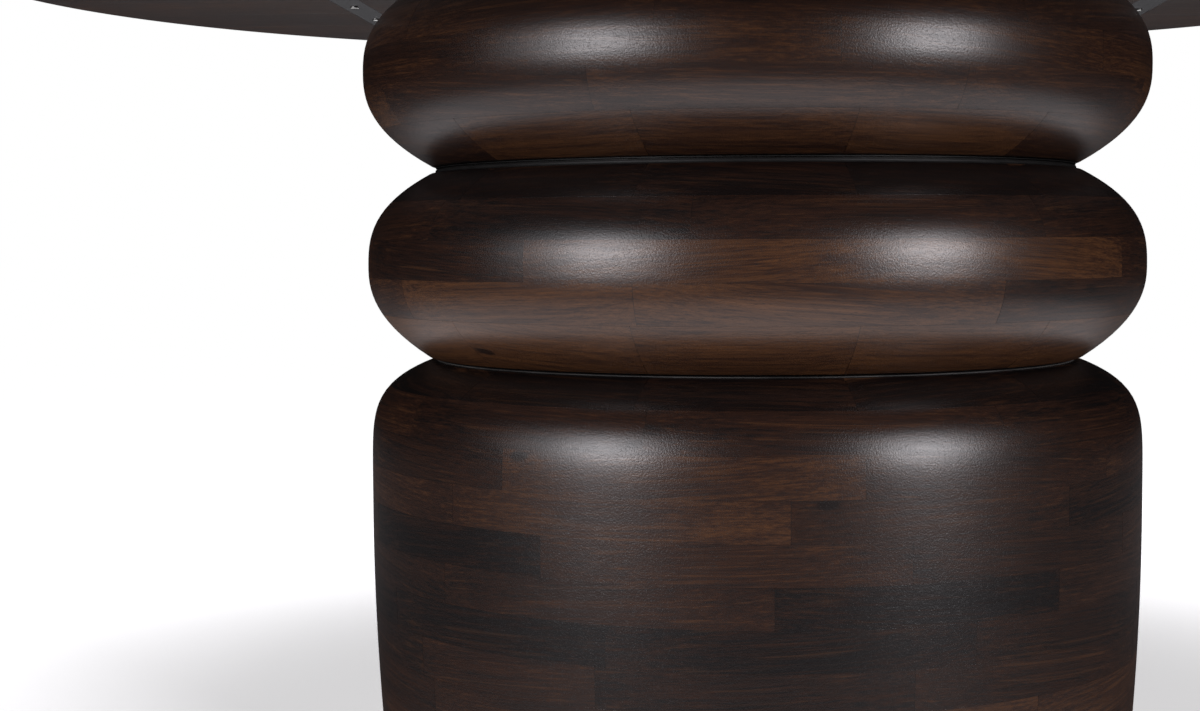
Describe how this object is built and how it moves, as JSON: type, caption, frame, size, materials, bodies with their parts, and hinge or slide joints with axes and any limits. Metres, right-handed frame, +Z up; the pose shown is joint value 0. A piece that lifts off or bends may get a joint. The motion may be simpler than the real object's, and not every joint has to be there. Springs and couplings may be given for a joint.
{
  "type": "round pedestal dining table",
  "caption": "Round dining table on a pedestal of stacked, lathe-turned tiers of dark stained glued blocks, with a plank top and screw-adjusted levelling feet.",
  "frame": {"origin": "centre of the footprint, on the floor", "axes": "+Z up through the pedestal, +X along the planks of the top, -Y towards the pictured side"},
  "size_m": [1.524, 1.524, 0.762],
  "materials": {
    "dark_wood": "dark stained, satin lacquer",
    "black_spacer": "black stained, matt",
    "plywood": "raw plywood",
    "dowel_wood": "raw beech",
    "black_steel": "black powder coat",
    "zinc_steel": "zinc plated",
    "insert_brass": "turned",
    "pad_plastic": "moulded, matt"
  },
  "bodies": {
    "table": {"base_ring": "plywood", "channel_screws": "zinc_steel", "drum_course_01": "dark_wood", "drum_course_02": "dark_wood", "drum_course_03": "dark_wood", "drum_course_04": "dark_wood", "drum_course_05": "dark_wood", "drum_course_06": "dark_wood", "drum_course_07": "dark_wood", "drum_course_08": "dark_wood", "drum_course_09": "dark_wood", "drum_course_10": "dark_wood", "foot_ring": "black_spacer", "foot_ring_screws": "zinc_steel", "leveller_inserts": "insert_brass", "lower_dowels": "dowel_wood", "lower_spacer_ring": "black_spacer", "middle_tier_course_01": "dark_wood", "middle_tier_course_02": "dark_wood", "middle_tier_course_03": "dark_wood", "middle_tier_course_04": "dark_wood", "middle_tier_course_05": "dark_wood", "stiffening_channel_left": "black_steel", "stiffening_channel_right": "black_steel", "tie_rod_nuts": "zinc_steel", "tie_rod_washers": "zinc_steel", "tie_rods": "zinc_steel", "top_bolts": "zinc_steel", "top_inserts": "insert_brass", "top_plank_01": "dark_wood", "top_plank_02": "dark_wood", "top_plank_03": "dark_wood", "top_plank_04": "dark_wood", "top_plank_05": "dark_wood", "top_plank_06": "dark_wood", "top_plank_07": "dark_wood", "top_plank_08": "dark_wood", "top_plank_09": "dark_wood", "top_plank_10": "dark_wood", "top_plank_11": "dark_wood", "top_plank_12": "dark_wood", "top_plate": "black_steel", "upper_dowels": "dowel_wood", "upper_spacer_ring": "black_spacer", "upper_tier_course_01": "dark_wood", "upper_tier_course_02": "dark_wood", "upper_tier_course_03": "dark_wood", "upper_tier_course_04": "dark_wood", "upper_tier_course_05": "dark_wood"},
    "leveller_pad_1": {"leveller_pad_1": "pad_plastic"},
    "leveller_stem_1": {"leveller_stem_1": "zinc_steel"},
    "leveller_pad_2": {"leveller_pad_2": "pad_plastic"},
    "leveller_stem_2": {"leveller_stem_2": "zinc_steel"},
    "leveller_pad_3": {"leveller_pad_3": "pad_plastic"},
    "leveller_stem_3": {"leveller_stem_3": "zinc_steel"},
    "leveller_pad_4": {"leveller_pad_4": "pad_plastic"},
    "leveller_stem_4": {"leveller_stem_4": "zinc_steel"}
  },
  "joints": [
    {"name": "leveller_1_height", "type": "slide", "parent": "table", "child": "leveller_pad_1", "axis": [0, 0, -1], "range_m": [0, 0.015]},
    {"name": "leveller_1_turn", "type": "hinge", "parent": "leveller_pad_1", "child": "leveller_stem_1", "pos_m": [0.16144, -0.29125, 0.0107], "axis": [0, 0, -1], "range_deg": [0, 3601]},
    {"name": "leveller_2_height", "type": "slide", "parent": "table", "child": "leveller_pad_2", "axis": [0, 0, -1], "range_m": [0, 0.015]},
    {"name": "leveller_2_turn", "type": "hinge", "parent": "leveller_pad_2", "child": "leveller_stem_2", "pos_m": [0.29125, 0.16144, 0.0107], "axis": [0, 0, -1], "range_deg": [0, 3601]},
    {"name": "leveller_3_height", "type": "slide", "parent": "table", "child": "leveller_pad_3", "axis": [0, 0, -1], "range_m": [0, 0.015]},
    {"name": "leveller_3_turn", "type": "hinge", "parent": "leveller_pad_3", "child": "leveller_stem_3", "pos_m": [-0.16144, 0.29125, 0.0107], "axis": [0, 0, -1], "range_deg": [0, 3601]},
    {"name": "leveller_4_height", "type": "slide", "parent": "table", "child": "leveller_pad_4", "axis": [0, 0, -1], "range_m": [0, 0.015]},
    {"name": "leveller_4_turn", "type": "hinge", "parent": "leveller_pad_4", "child": "leveller_stem_4", "pos_m": [-0.29125, -0.16144, 0.0107], "axis": [0, 0, -1], "range_deg": [0, 3601]}
  ],
  "couplings": [
    {"joint": "leveller_1_turn", "follows": "leveller_1_height", "rad_per_m": 4188.8},
    {"joint": "leveller_2_turn", "follows": "leveller_2_height", "rad_per_m": 4188.8},
    {"joint": "leveller_3_turn", "follows": "leveller_3_height", "rad_per_m": 4188.8},
    {"joint": "leveller_4_turn", "follows": "leveller_4_height", "rad_per_m": 4188.8}
  ]
}
